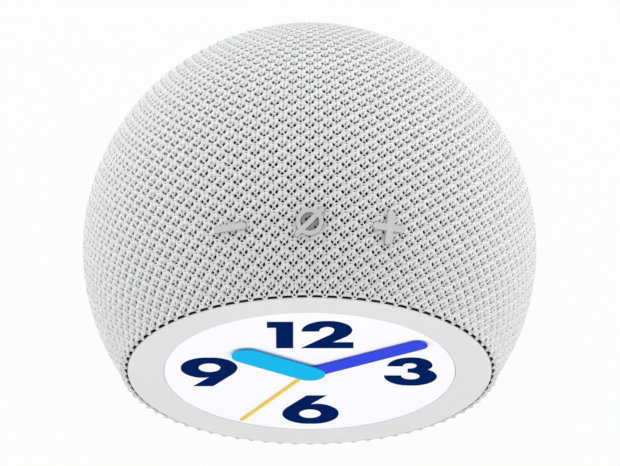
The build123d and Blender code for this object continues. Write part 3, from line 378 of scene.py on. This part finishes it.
def tile(kind):
    """One kind's tile: points in mm, which of them are feet of hole walls, triangles and their sort."""
    holes = list(HOLES[kind].values())
    border = tile_border()
    points = list(border)
    edges = [(i, (i + 1) % len(points)) for i in range(len(points))]
    spans = []
    for hole in holes:
        first = len(points)
        points += hole
        loop = [first + i for i in range(len(hole))]
        edges += list(zip(loop, loop[1:] + loop[:1]))
        spans.append(loop)
    reach = range(-GRID_REACH, GRID_REACH + 1)
    grid = [((i + 0.5 * (j % 2)) * GRID_MM, j * GRID_MM * GRID_ROW) for j in reach for i in reach]
    gx, gy = np.array(grid).T
    keep = inside(gx, gy, border) & (loop_gap(gx, gy, border) > BORDER_ROOM_MM)
    for hole in holes:
        keep &= ~inside(gx, gy, hole) & (loop_gap(gx, gy, hole) > HOLE_ROOM_MM)
    points += list(zip(gx[keep], gy[keep]))
    made = delaunay_2d_cdt([Vector(p) for p in points], edges, [], 0, MERGE_MM)
    flat = np.array([(v.x, v.y) for v in made[0]])
    now = {old: new for new, olds in enumerate(made[3]) for old in olds}
    faces = np.array([list(f) for f in made[2]])
    mid = flat[faces].mean(axis=1)
    mine = inside(mid[:, 0], mid[:, 1], border)
    faces, mid = faces[mine], mid[mine]
    a, b, c = flat[faces[:, 0]], flat[faces[:, 1]], flat[faces[:, 2]]
    turned = (b[:, 0] - a[:, 0]) * (c[:, 1] - a[:, 1]) - (b[:, 1] - a[:, 1]) * (c[:, 0] - a[:, 0])
    faces[turned < 0] = faces[turned < 0][:, ::-1]
    sort = np.full(len(faces), SHEET)
    walls, feet = [], []
    for hole, loop in zip(holes, spans):
        sort[inside(mid[:, 0], mid[:, 1], hole)] = FILLER
        middle = np.mean(hole, axis=0)
        first = len(flat) + len(feet)
        feet += [tuple(middle + (np.array(p) - middle) * WALL_TAPER) for p in hole]
        n = len(hole)
        clockwise = sum(hole[i - 1][0] * hole[i][1] - hole[i][0] * hole[i - 1][1] for i in range(n)) < 0
        for i in range(n):
            j = (i + 1) % n
            here, there, foot, next_foot = now[loop[i]], now[loop[j]], first + i, first + j
            if clockwise:
                here, there, foot, next_foot = there, here, next_foot, foot
            walls += [(here, there, next_foot), (here, next_foot, foot)]
    is_foot = np.arange(len(flat) + len(feet)) >= len(flat)
    flat = np.concatenate([flat, np.array(feet)])
    sort = np.concatenate([sort, np.full(len(walls), WALL)])
    return flat, is_foot, np.concatenate([faces, np.array(walls)]), sort


# Relief of the yarn in mm: how far each strand rises, where it runs, half its width and its reach
SHEET_MM = 0.30
DEEPEST_YARN_MM = 1.0
UNIT_W_MM, UNIT_H_MM = 1.2, 1.25
LOOP_RISE, LOOP_OUT, LOOP_HALF = 0.21, 0.47, 0.23
LOOP_FADE, LOOP_FADE_RATE = 0.8, 1.8
CROSS_RISE, CROSS_HALF = 0.255, 0.17
CROSS_FROM, CROSS_TO = (0.0, 0.06), (0.42, 0.80)
BAR_RISE, BAR_AT, BAR_HALF, BAR_REACH = 0.225, 1.06, 0.16, 0.65
KNOT_RISE, KNOT_X, KNOT_Y, KNOT_HALF = 0.21, 0.4, 1.4, 0.22
ARM_RISE, ARM_OUT, ARM_HALF, ARM_REACH = 0.195, 1.06, 0.16, 0.9
GROOVE_LEFT, GROOVE_RIGHT = 0.05, 0.24
GROOVE_OUT, GROOVE_HALF, GROOVE_AT, GROOVE_REACH = 0.98, 0.15, -0.25, 0.75
EDGE_SINK, EDGE_HALF = 0.08, 0.10
SAME_KIND = ((0, 0), (0, 1), (0, -1))
OTHER_KIND = ((0.5, 0.5), (-0.5, 0.5), (0.5, -0.5), (-0.5, -0.5))


def loops(x, y):
    """How far out a point lies in the loops of yarn round an opening."""
    return np.hypot(x / UNIT_W_MM, y / UNIT_H_MM)


def ridge(gap, half):
    return np.exp(-((gap / half) ** 2))


def strands(dx, dy, legs):
    """Rise of each strand near one opening, with legs the distance from its slit."""
    # A loop round the slit, and its two ends, which cross below it
    yield LOOP_RISE * ridge(legs - LOOP_OUT, LOOP_HALF) * np.clip(LOOP_FADE - LOOP_FADE_RATE * dy, 0, 1)
    yield CROSS_RISE * ridge(segment_gap(np.abs(dx), dy, *CROSS_FROM, *CROSS_TO), CROSS_HALF)
    # A bar below the wedge, a knot at each side of the dash and an arm outside the left leaf
    yield BAR_RISE * ridge(dy - BAR_AT, BAR_HALF) * ridge(dx, BAR_REACH)
    yield KNOT_RISE * ridge(np.hypot(np.abs(dx) - KNOT_X, dy - KNOT_Y), KNOT_HALF)
    yield np.where(dx < 0, ARM_RISE, 0.0) * ridge(loops(dx, dy) - ARM_OUT, ARM_HALF) * ridge(dy, ARM_REACH)


def relief(kind, x, y):
    """Depth in mm below the crown of the yarn, worked out from the nearest openings of both kinds."""
    rise = np.zeros(x.shape)
    groove = np.zeros(x.shape)
    sunk = np.zeros(x.shape)
    other = "B" if kind == "A" else "A"
    near = [(kind, *at) for at in SAME_KIND] + [(other, *at) for at in OTHER_KIND]
    for here, across, along in near:
        dx, dy = x - across * TILE_W_MM, y - along * TILE_H_MM
        slit_loop = HOLES[here]["slit"]
        legs = segment_gap(dx, dy, *slit_loop[0], *slit_loop[len(slit_loop) // 2])
        for strand in strands(dx, dy, legs):
            rise = np.maximum(rise, strand)
        # A groove outside the loop, deeper on the right
        deep = np.where(dx > 0, GROOVE_RIGHT, GROOVE_LEFT) * ridge(legs - GROOVE_OUT, GROOVE_HALF)
        groove = np.maximum(groove, deep * ridge(dy - GROOVE_AT, GROOVE_REACH))
        for hole in HOLES[here].values():
            sunk = np.maximum(sunk, EDGE_SINK * ridge(loop_gap(dx, dy, hole), EDGE_HALF))
    return np.clip(SHEET_MM + sunk + groove - rise, 0.0, DEEPEST_YARN_MM)


# The rim, a welt that rolls over the groove beside the bezel, the tail behind, and the cut at the base
RIM_POLAR = 54.25
RIM_REACH = 0.77
RIM_ROLL = 0.9
RIM_DEPTH_MM = 0.25
RIM_CURL_MM = 0.45
# Depth in mm that sets the painted shade along the rim's lip
RIM_PAINTED_SHADE_DEPTH = 0.46
RIM_CLOSED = 0.6
REACH_FROM, REACH_SPAN = 0.25, 0.5
WELT_POLAR = 55.3
WELT_HALF = 1.0
WELT_MM = 0.72
WELT_STEADY, WELT_WAVE = 0.75, 0.25
TAIL_POLAR = 157.4
TAIL_ROLL = 0.9
TAIL_SINK_MM = 0.5
TAIL_DEEPEST_MM = 1.2
BASE_CUT_MM = 25.05
BASE_BELOW_MM = 20.0
BASE_LOWEST_MM = 1.2
SLIVER_MM2 = 1e-4
NO_NORMAL = 0.5
TINY_SPAN, TINY_SLOPE, TINY_NORMAL = 1e-6, 1e-9, 1e-12

# Panels: how many the cover is split into, and the spread of their UVs
PANELS = 6
UV_TURN = 120.0
UV_POLAR, UV_SPAN = 50.0, 110.0


def knit_field():
    """The cover before it is cut: angles, depth in mm, place in the loops, triangles, column and sort."""
    polar, around, depth, strand, faces, column, sort = [], [], [], [], [], [], []
    start = 0
    for kind, (shift, first) in LINES.items():
        flat, is_foot, tris, sorts = tile(kind)
        deep = relief(kind, flat[:, 0], flat[:, 1]) + WALL_MM * is_foot
        out = loops(flat[:, 0], flat[:, 1])
        rows = np.arange(-1, int((TAIL_POLAR - first) / ROW) + 2)
        for k in range(COLUMNS):
            for j in rows:
                polar.append(first + ROW * (j - flat[:, 1] / TILE_H_MM))
                around.append(PITCH * (k + shift + flat[:, 0] / TILE_W_MM))
                depth.append(deep)
                strand.append(out)
                faces.append(tris + start)
                column.append(np.full(len(tris), k))
                sort.append(sorts)
                start += len(flat)
    polar, around = np.concatenate(polar), np.concatenate(around) % 360.0
    depth, strand = np.concatenate(depth), np.concatenate(strand)
    faces, column, sort = np.concatenate(faces), np.concatenate(column), np.concatenate(sort)
    # Points that neighbouring tiles share become one
    keys = np.round(np.stack([polar, around], 1) * KEYS_PER_DEGREE).astype(np.int64)
    keys[:, 1] %= 360 * KEYS_PER_DEGREE
    _, index, back = np.unique(keys, axis=0, return_index=True, return_inverse=True)
    return polar[index], around[index], depth[index], strand[index], back.reshape(-1)[faces], column, sort


def place(polar, around, radius):
    t, p = np.radians(polar), np.radians(around)
    axis = np.cos(t)[:, None] * FORWARD
    across = np.cos(p)[:, None] * UPWARD + np.sin(p)[:, None] * SIDE
    return CENTRE + radius[:, None] * (axis + np.sin(t)[:, None] * across)


# Buttons: their places, their outlines as half lengths and widths, and the gap kept round them
BUTTON_POLAR = 73.0
BUTTON_SPREAD = 21.2
BUTTON_TURNS = {"minus": -BUTTON_SPREAD, "mute": 0.0, "plus": BUTTON_SPREAD}
BUTTON_EASE_MM = 0.06
BAR_LONG_MM, BAR_WIDE_MM = 3.65, 0.7
RING_MM = 3.0
SLASH_LONG_MM, SLASH_WIDE_MM = 4.4, 0.55
BUTTON_SIDE_MM = 40.0
FAR_OFF_MM = 99.0
EASE_PASSES = 3
SLOPE_STEP_MM = 0.01
INSET_MM = 2.0
INSET_SLASH_MM = 0.62
INSET_SINK_MM = 0.35
RING_FLOOR = (0.0487, 0.0489)
RING_FLOOR_COLOUR = grey(0.02)
SOFT_MM = 0.42
SOFT_STEPS = 4
SOFT_ANGLE = 40.0


def bar_gap(x, y, half_l, half_w):
    dx, dy = np.abs(x) - half_l, np.abs(y) - half_w
    return np.hypot(np.maximum(dx, 0), np.maximum(dy, 0)) + np.minimum(np.maximum(dx, dy), 0)


def button_axes(turn):
    """A button's directions: out of the ball, across it to the right, and along it."""
    t, p = math.radians(BUTTON_POLAR), math.radians(turn)
    out = math.cos(t) * FORWARD + math.sin(t) * (math.cos(p) * UPWARD + math.sin(p) * SIDE)
    across = math.cos(p) * SIDE - math.sin(p) * UPWARD
    return out, across, np.cross(out, across)


def button_gap(points):
    """Distance in mm from each point to the nearest button's outline, negative inside it."""
    best = np.full(len(points), FAR_OFF_MM)
    for key, turn in BUTTON_TURNS.items():
        out, across, along = button_axes(turn)
        rel = points - CENTRE
        near = rel @ out > BUTTON_SIDE_MM
        x, y = rel @ across, rel @ along
        if key == "mute":
            slash = bar_gap((x + y) * DIAGONAL, (y - x) * DIAGONAL, SLASH_LONG_MM, SLASH_WIDE_MM)
            gap = np.minimum(np.hypot(x, y) - RING_MM, slash)
        else:
            gap = bar_gap(x, y, BAR_LONG_MM, BAR_WIDE_MM)
        if key == "plus":
            gap = np.minimum(gap, bar_gap(x, y, BAR_WIDE_MM, BAR_LONG_MM))
        best = np.where(near, np.minimum(best, gap), best)
    return best


def ease_off(points):
    """Moves the points that lie in or against a button out to a narrow gap round it."""
    moved = points.copy()
    for _ in range(EASE_PASSES):
        gap = button_gap(moved)
        near = np.flatnonzero(gap < BUTTON_EASE_MM)
        rises = [button_gap(moved[near] + SLOPE_STEP_MM * axis) - gap[near] for axis in np.eye(3)]
        slope = np.stack(rises, axis=1)
        slope /= np.maximum(np.linalg.norm(slope, axis=1), TINY_SLOPE)[:, None]
        moved[near] += slope * (BUTTON_EASE_MM - gap[near])[:, None]
    return moved


def vertex_normals(points, faces):
    a, b, c = points[faces[:, 0]], points[faces[:, 1]], points[faces[:, 2]]
    normal = np.cross(b - a, c - a)
    smooth = np.zeros_like(points)
    for i in range(3):
        np.add.at(smooth, faces[:, i], normal)
    return smooth / np.maximum(np.linalg.norm(smooth, axis=1), TINY_NORMAL)[:, None]


def knit_object(name, field, points, depth, faces, smooth, material, body):
    """One mesh from some of the cover's triangles, with the shading normals of the whole cover."""
    polar, around, strand = field
    used, local = np.unique(faces, return_inverse=True)
    local = local.reshape(-1, 3)
    mesh = bpy.data.meshes.new(name)
    mesh.vertices.add(len(used))
    mesh.vertices.foreach_set("co", (points[used] * MM).astype(np.float32).ravel())
    mesh.loops.add(local.size)
    mesh.loops.foreach_set("vertex_index", local.ravel().astype(np.int32))
    mesh.polygons.add(len(local))
    mesh.polygons.foreach_set("loop_start", np.arange(0, local.size, 3, dtype=np.int32))
    mesh.polygons.foreach_set("use_smooth", np.ones(len(local), bool))
    mesh.update(calc_edges=True)
    mesh.validate()
    # The depth attribute sets how much painted shade the yarn takes
    for key, values in (("depth", depth), ("strand", strand)):
        kept = mesh.attributes.new(key, "FLOAT", "POINT")
        kept.data.foreach_set("value", values[used].astype(np.float32))
    angle = np.radians(around[used])
    middle = math.degrees(math.atan2(np.sin(angle).mean(), np.cos(angle).mean()))
    turn = (around[used] - middle + 180.0) % 360.0 - 180.0
    flat = np.stack([0.5 + turn / UV_TURN, (polar[used] - UV_POLAR) / UV_SPAN], 1)
    uv = mesh.uv_layers.new(name="OFBake")
    uv.data.foreach_set("uv", flat[local.ravel()].astype(np.float32).ravel())
    mesh.normals_split_custom_set_from_vertices(smooth[used].tolist())
    mesh.materials.append(material)
    piece = bpy.data.objects.new(name, mesh)
    scene.collection.objects.link(piece)
    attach(piece, body)
    return piece


def rolled(share):
    """How far a rounded edge has dropped: nothing at a share of one, and all of it at nought."""
    return 1 - np.sqrt(1 - (1 - share) ** 2)


def build_knit(material):
    polar, around, depth, strand, faces, column, sort = knit_field()
    field = (polar, around, strand)
    plain = place(polar, around, OUTER_MM - depth)
    a, b, c = plain[faces[:, 0]], plain[faces[:, 1]], plain[faces[:, 2]]
    if np.mean(np.einsum("ij,ij->i", np.cross(b - a, c - a), a - CENTRE)[sort == SHEET]) < 0:
        faces = faces[:, ::-1]
    # The rim's welt stands proud of the ball, with one rounded reach over the groove for every column
    wave = np.cos(np.radians(around / PITCH * 360.0))
    reach = np.clip((wave - REACH_FROM) / REACH_SPAN, 0, 1)
    rim = RIM_POLAR - RIM_REACH * reach
    outside = polar < rim
    cut = np.minimum(np.maximum(polar, rim), TAIL_POLAR)
    lip = np.clip((cut - rim) / RIM_ROLL, 0, 1)
    tail = np.clip((TAIL_POLAR - cut) / TAIL_ROLL, 0, 1)
    welt = WELT_MM * (WELT_STEADY + WELT_WAVE * wave) * ridge(cut - WELT_POLAR, WELT_HALF)
    deep = RIM_DEPTH_MM + (depth - RIM_DEPTH_MM) * lip - welt
    deep = np.minimum(deep + TAIL_SINK_MM * rolled(tail), TAIL_DEEPEST_MM)
    curl = RIM_CURL_MM * rolled(lip)
    points = place(cut, around, OUTER_MM - deep) - curl[:, None] * FORWARD
    # Painted shade: along the rim's lip the yarn's tint takes a set depth in place of its own, which paints
    # the rim's edge a darker grey
    painted_shade_depth = RIM_PAINTED_SHADE_DEPTH + (depth - RIM_PAINTED_SHADE_DEPTH) * lip
    # The cover stops at the base plate's edge and round each button
    span = np.hypot(points[:, 0], points[:, 1])
    low = (points[:, 2] < BASE_BELOW_MM) & (span < BASE_CUT_MM)
    scale = np.where(low, BASE_CUT_MM / np.maximum(span, TINY_SPAN), 1.0)
    points[:, :2] *= scale[:, None]
    points[low, 2] = np.maximum(points[low, 2], BASE_LOWEST_MM)
    buried = button_gap(points) < BUTTON_EASE_MM
    points = ease_off(points)
    a, b, c = points[faces[:, 0]], points[faces[:, 1]], points[faces[:, 2]]
    keep = np.linalg.norm(np.cross(b - a, c - a), axis=1) > SLIVER_MM2
    for gone in (outside, low, buried):
        keep &= ~gone[faces].all(axis=1)
    keep &= (button_gap(points)[faces] > BUTTON_EASE_MM / 2).all(axis=1)
    for one, two in ((a, b), (b, c), (c, a)):
        keep &= button_gap((one + two) / 2) > 0
    # The holes stay closed along the rim's lip
    near_rim = (polar - rim)[faces].min(axis=1) < RIM_CLOSED
    keep &= np.where(near_rim, sort != WALL, sort != FILLER)
    # Walls take no part in the shading normals, except at their feet
    smooth = vertex_normals(points, faces[keep & (sort != WALL)])
    feet = np.linalg.norm(smooth, axis=1) < NO_NORMAL
    smooth[feet] = vertex_normals(points, faces[keep])[feet]
    share = (column * PANELS) // COLUMNS
    for n in range(PANELS):
        mine = faces[keep & (share == n)]
        panel = knit_object(f"knit_panel_{n + 1}", field, points, painted_shade_depth, mine, smooth, material, "case")
        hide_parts("knit_cover")
    # A small piece of the same knit lies inside the ring of the middle button
    out, across, along = button_axes(BUTTON_TURNS["mute"])
    middle = plain[faces].mean(axis=1) - CENTRE
    x, y = middle @ across, middle @ along
    mine = (middle @ out > BUTTON_SIDE_MM) & (np.hypot(x, y) < INSET_MM) & (sort != FILLER)
    mine &= np.abs(y - x) * DIAGONAL > INSET_SLASH_MM
    inset = place(polar, around, OUTER_MM - INSET_SINK_MM - depth)
    smooth = vertex_normals(inset, faces)
    knit_object("knit_inset", field, inset, depth, faces[mine], smooth, material, "mute")


def ringed_material():
    """The button's grey on its ring and slash, and black on the floor below them."""
    material, tree, shader = new_material("button_ring")
    where = tree.nodes.new("ShaderNodeTexCoord")
    gap = tree.nodes.new("ShaderNodeVectorMath")
    gap.operation = "DISTANCE"
    gap.inputs[1].default_value = tuple(CENTRE * MM)
    tree.links.new(where.outputs["Object"], gap.inputs[0])
    above = ramp(tree, gap.outputs["Value"], *RING_FLOOR, 0.0, 1.0)
    colour = tint(tree, above, 0.0, 1.0, RING_FLOOR_COLOUR, BUTTON_COLOUR)
    tree.links.new(colour, shader.inputs["Base Color"])
    grain_of(tree, shader, BUTTON_ROUGH, specular=BUTTON_SPECULAR)
    return material


def soften(name):
    edge = nodes[name].modifiers.new("soft_edge", "BEVEL")
    edge.width = SOFT_MM * MM
    edge.segments = SOFT_STEPS
    edge.limit_method = "ANGLE"
    edge.angle_limit = math.radians(SOFT_ANGLE)
    edge.harden_normals = False


# A dark gasket beside the bezel, as radii and levels in mm, and a dark liner under the knit's rim
GASKET = [(40.03, -2.4), (40.24, -2.4), (40.24, -0.5), (40.2, -0.34), (40.03, -0.26)]
LINER_OUT_MM, LINER_IN_MM = 48.95, 48.86
LINER_POLAR = (55.3, 57.0, 58.7, 60.4)
LATHE_STEPS = 240


def liner_profile():
    arc = [(LINER_OUT_MM, t) for t in LINER_POLAR] + [(LINER_IN_MM, t) for t in reversed(LINER_POLAR)]
    return [(r * math.sin(math.radians(t)), r * math.cos(math.radians(t)) - FACE_MM) for r, t in arc]


def lathe(name, profile, material, body):
    """A closed ring round the dial's axis from (radius, level) points, with levels from the bezel's face."""
    face = CENTRE + FORWARD * FACE_MM
    n = len(profile)
    verts, faces = [], []
    for k in range(LATHE_STEPS):
        a = 2 * math.pi * k / LATHE_STEPS
        out = math.cos(a) * UPWARD + math.sin(a) * SIDE
        verts += [(face + out * r + FORWARD * z) * MM for r, z in profile]
        m = (k + 1) % LATHE_STEPS
        for i in range(n):
            j = (i + 1) % n
            faces.append((k * n + i, m * n + i, m * n + j, k * n + j))
    mesh = bpy.data.meshes.new(name)
    mesh.from_pydata([tuple(v) for v in verts], [], faces)
    mesh.materials.append(material)
    mesh.validate()
    mesh.update()
    made = bpy.data.objects.new(name, mesh)
    scene.collection.objects.link(made)
    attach(made, body)


build_knit(yarn_material())
nodes["mute_button"].data.materials[0] = ringed_material()
lathe("rim_gasket", GASKET, finish_of("gasket_black", **GASKET_LOOK), "case")
lathe("rim_liner", liner_profile(), FINISHES["case_black"], "case")
for name in ("minus_button", "mute_button", "plus_button"):
    soften(name)


# Floor, light and camera, with the sky's strength at the horizon and overhead, and its shares by direction
SKY_LOW = 2.57
SKY_HIGH = 0.075
SKY_BACK = 0.21
SKY_SIDE = 0.2
FLOOR_HALF = 3.0
FLOOR_COLOUR = grey(0.6)
FLOOR_ROUGH = 0.9
FLOOR_SHARE = 0.955
WHITE_STRENGTH = 1.0
LAMP_SPOT = (0.9, -0.5, 0.8)
LAMP_SIZE = 0.8
LAMP_POWER = 0.5
CAMERA_RISE = math.radians(81.015)
CAMERA_AWAY = 3.8527
CAMERA_ABOVE = 0.003614
CAMERA_RIGHT = 0.000074
CAMERA_SENSOR = 36.0
CAMERA_LENS = 1017.4
CAMERA_END = 20.0


def background_rays(tree):
    """One for rays that show the background: straight from the camera, off metal or through glass."""
    path = tree.nodes.new("ShaderNodeLightPath")
    seen = maths(tree, "MAXIMUM", path.outputs["Is Camera Ray"], path.outputs["Is Glossy Ray"])
    return maths(tree, "MAXIMUM", seen, path.outputs["Is Transmission Ray"])


def mix_shaders(tree, share, first, second):
    mix = tree.nodes.new("ShaderNodeMixShader")
    for socket, value in zip(mix.inputs, (share, first, second)):
        tree.links.new(value, socket)
    return mix.outputs[0]


def make_floor():
    """A pale floor that shows as white and still takes the object's shadow."""
    size = FLOOR_HALF
    mesh = bpy.data.meshes.new("floor")
    corners = [(-size, -size, 0), (size, -size, 0), (size, size, 0), (-size, size, 0)]
    mesh.from_pydata(corners, [], [(0, 1, 2, 3)])
    floor = bpy.data.objects.new("floor", mesh)
    scene.collection.objects.link(floor)
    material, tree, shader = new_material("floor_pale")
    out = next(n for n in tree.nodes if n.type == "OUTPUT_MATERIAL")
    shader.inputs["Base Color"].default_value = (*FLOOR_COLOUR, 1)
    shader.inputs["Roughness"].default_value = FLOOR_ROUGH
    shader.inputs["Specular IOR Level"].default_value = 0.0
    glow = tree.nodes.new("ShaderNodeEmission")
    glow.inputs["Color"].default_value = (*WHITE, 1)
    glow.inputs["Strength"].default_value = WHITE_STRENGTH
    share = maths(tree, "MULTIPLY", background_rays(tree), FLOOR_SHARE)
    tree.links.new(mix_shaders(tree, share, shader.outputs[0], glow.outputs[0]), out.inputs[0])
    mesh.materials.append(material)


def make_world():
    """Soft light, strongest near the horizon, at the sides and at the back, and plain white to the camera."""
    world = bpy.data.worlds.new("studio")
    scene.world = world
    world.use_nodes = True
    tree = world.node_tree
    tree.nodes.clear()
    out = tree.nodes.new("ShaderNodeOutputWorld")
    light = tree.nodes.new("ShaderNodeBackground")
    white = tree.nodes.new("ShaderNodeBackground")
    for background in (light, white):
        background.inputs["Color"].default_value = (*WHITE, 1)
    white.inputs["Strength"].default_value = WHITE_STRENGTH
    where = tree.nodes.new("ShaderNodeTexCoord")
    split = tree.nodes.new("ShaderNodeSeparateXYZ")
    tree.links.new(where.outputs["Generated"], split.inputs[0])
    x, y, z = split.outputs
    level = ramp(tree, z, 0.0, 1.0, SKY_LOW, SKY_HIGH)
    back = ramp(tree, y, -1.0, 1.0, 1.0 - SKY_BACK, 1.0 + SKY_BACK)
    side = ramp(tree, maths(tree, "MULTIPLY", x, x), 0.0, 1.0, 1.0, 1.0 + SKY_SIDE)
    total = maths(tree, "MULTIPLY", maths(tree, "MULTIPLY", level, back), side)
    tree.links.new(total, light.inputs["Strength"])
    seen = background_rays(tree)
    tree.links.new(mix_shaders(tree, seen, light.outputs[0], white.outputs[0]), out.inputs[0])


def make_lamp():
    lamp = bpy.data.lights.new("side_soft", "AREA")
    lamp.shape = "DISK"
    lamp.size = LAMP_SIZE
    lamp.energy = LAMP_POWER
    made = bpy.data.objects.new("side_soft", lamp)
    scene.collection.objects.link(made)
    aim = Vector(CENTRE * MM) - Vector(LAMP_SPOT)
    made.rotation_euler = aim.to_track_quat("-Z", "Y").to_euler()
    made.location = LAMP_SPOT


def make_camera():
    back = Vector((0, -math.cos(CAMERA_RISE), math.sin(CAMERA_RISE)))
    above = Vector((0, math.sin(CAMERA_RISE), math.cos(CAMERA_RISE)))
    right = Vector((1, 0, 0))
    data = bpy.data.cameras.new("camera")
    data.sensor_width = CAMERA_SENSOR
    data.lens = CAMERA_LENS
    data.clip_end = CAMERA_END
    camera = bpy.data.objects.new("camera", data)
    scene.collection.objects.link(camera)
    spot = Vector(CENTRE * MM) + back * CAMERA_AWAY + above * CAMERA_ABOVE + right * CAMERA_RIGHT
    turn = Matrix((right, above, back)).transposed()
    camera.matrix_world = Matrix.Translation(spot) @ turn.to_4x4()
    scene.camera = camera


make_floor()
make_world()
make_lamp()
make_camera()
scene.view_settings.view_transform = "Standard"
